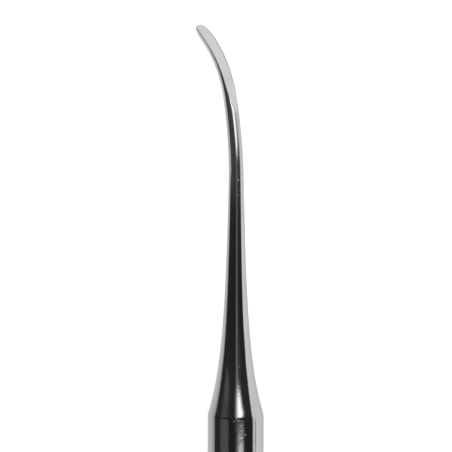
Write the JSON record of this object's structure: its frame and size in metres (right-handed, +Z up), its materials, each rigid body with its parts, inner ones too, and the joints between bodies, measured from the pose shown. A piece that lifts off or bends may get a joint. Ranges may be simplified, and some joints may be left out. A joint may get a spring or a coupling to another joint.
{
  "type": "root elevator",
  "caption": "Slender dental hand instrument: faceted grip, round neck, flared tapering shank and a bent blade with a ground flat face, all in solid steel.",
  "frame": {"origin": "middle of the grip flat that the tool lies on", "axes": "+Y along the tool's axis from the butt towards the blade, +Z up, and the blade bends towards -X"},
  "size_m": [0.0104, 0.1649, 0.009],
  "materials": {
    "polished_steel": "polished stainless steel with fine turning marks"
  },
  "bodies": {
    "root": {"root_elevator": "polished_steel"}
  },
  "joints": []
}
